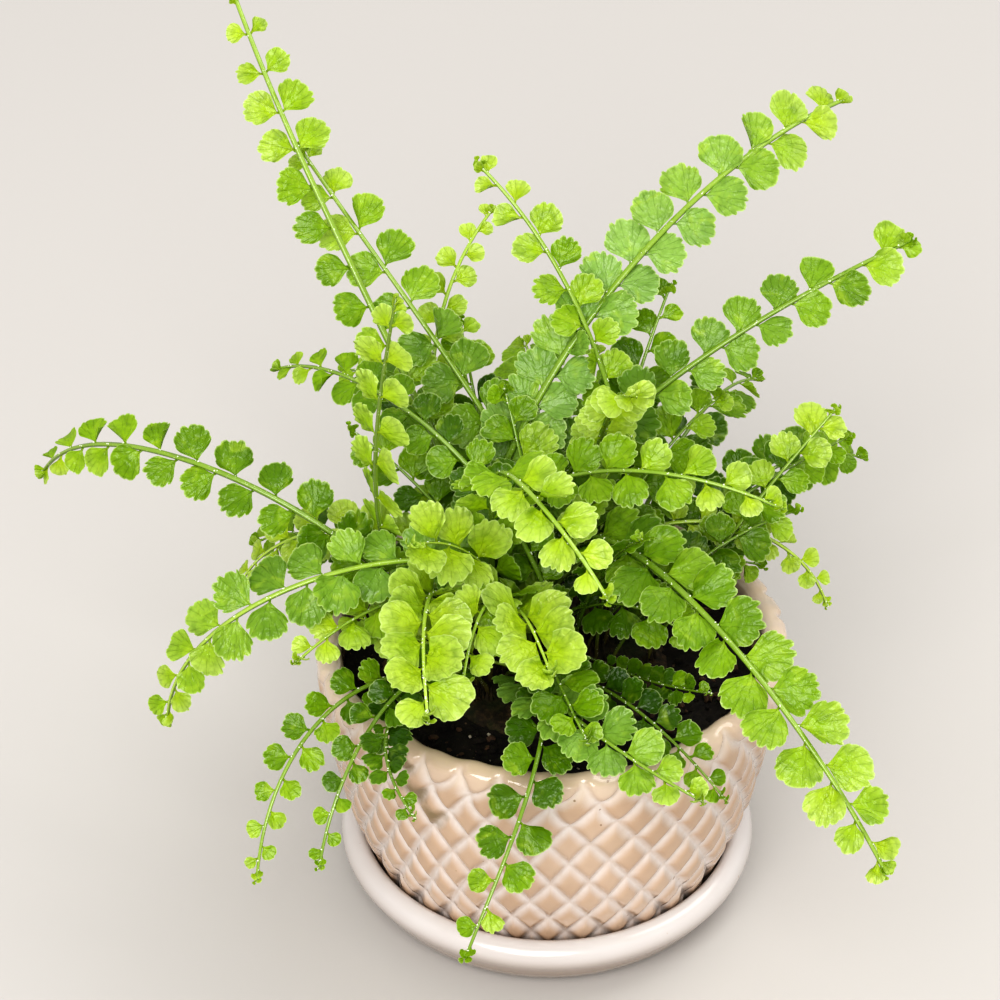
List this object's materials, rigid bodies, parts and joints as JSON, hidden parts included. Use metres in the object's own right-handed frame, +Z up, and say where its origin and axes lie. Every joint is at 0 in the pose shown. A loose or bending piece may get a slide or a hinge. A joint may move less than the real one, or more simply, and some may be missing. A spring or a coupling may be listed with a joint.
{
  "type": "potted fern",
  "caption": "Small lemon button fern with arching fronds of round leaflets, growing in a glazed ceramic pot with a lattice of raised diamonds, on a matching saucer.",
  "frame": {"origin": "centre of the saucer's flat underside, where the whole plant stands", "axes": "+Z up through the pot's centre, -Y towards the viewer of the picture, +X to that viewer's right"},
  "size_m": [0.2465, 0.2139, 0.2306],
  "materials": {
    "saucer_glaze": "gloss",
    "pot_glaze": "gloss",
    "soil": "matte",
    "crown": "matte",
    "young_leaf": "satin",
    "leaf": "satin",
    "old_leaf": "satin"
  },
  "bodies": {
    "root": {"saucer": "saucer_glaze", "pot": "pot_glaze", "soil": "soil", "crown": "crown", "frond_back_right_1": "leaf", "frond_front_right_1": "leaf", "frond_back_left_1": "leaf", "frond_back_left_2": "leaf", "frond_left_1": "leaf", "frond_left_2": "leaf", "frond_back_right_2": "leaf", "frond_front_left_1": "leaf", "frond_front_1": "leaf", "frond_front_right_2": "leaf", "frond_left_3": "young_leaf", "frond_back_1": "leaf", "frond_right_1": "leaf", "frond_front_right_3": "old_leaf", "frond_right_2": "leaf", "frond_back_left_3": "leaf", "frond_front_2": "young_leaf", "frond_front_3": "young_leaf", "frond_front_4": "young_leaf", "frond_front_right_4": "young_leaf", "frond_right_3": "young_leaf", "frond_front_left_2": "leaf", "frond_front_left_3": "young_leaf", "frond_front_left_4": "young_leaf", "frond_right_4": "leaf", "frond_front_5": "old_leaf", "frond_back_2": "young_leaf", "frond_left_4": "young_leaf", "frond_front_right_5": "old_leaf", "frond_back_right_3": "old_leaf", "frond_back_right_4": "old_leaf", "frond_right_5": "old_leaf", "frond_right_6": "old_leaf", "frond_right_7": "old_leaf", "frond_front_right_6": "old_leaf", "frond_front_6": "old_leaf", "frond_front_7": "old_leaf", "frond_front_left_5": "old_leaf", "frond_back_left_4": "old_leaf", "frond_back_left_5": "old_leaf", "frond_back_left_6": "old_leaf", "frond_back_left_7": "old_leaf", "frond_back_3": "old_leaf", "frond_back_4": "old_leaf", "frond_back_left_8": "old_leaf", "frond_back_right_5": "old_leaf", "frond_front_right_7": "old_leaf", "frond_back_right_6": "old_leaf", "frond_back_5": "old_leaf", "frond_back_left_9": "old_leaf", "frond_back_right_7": "old_leaf"}
  },
  "joints": []
}
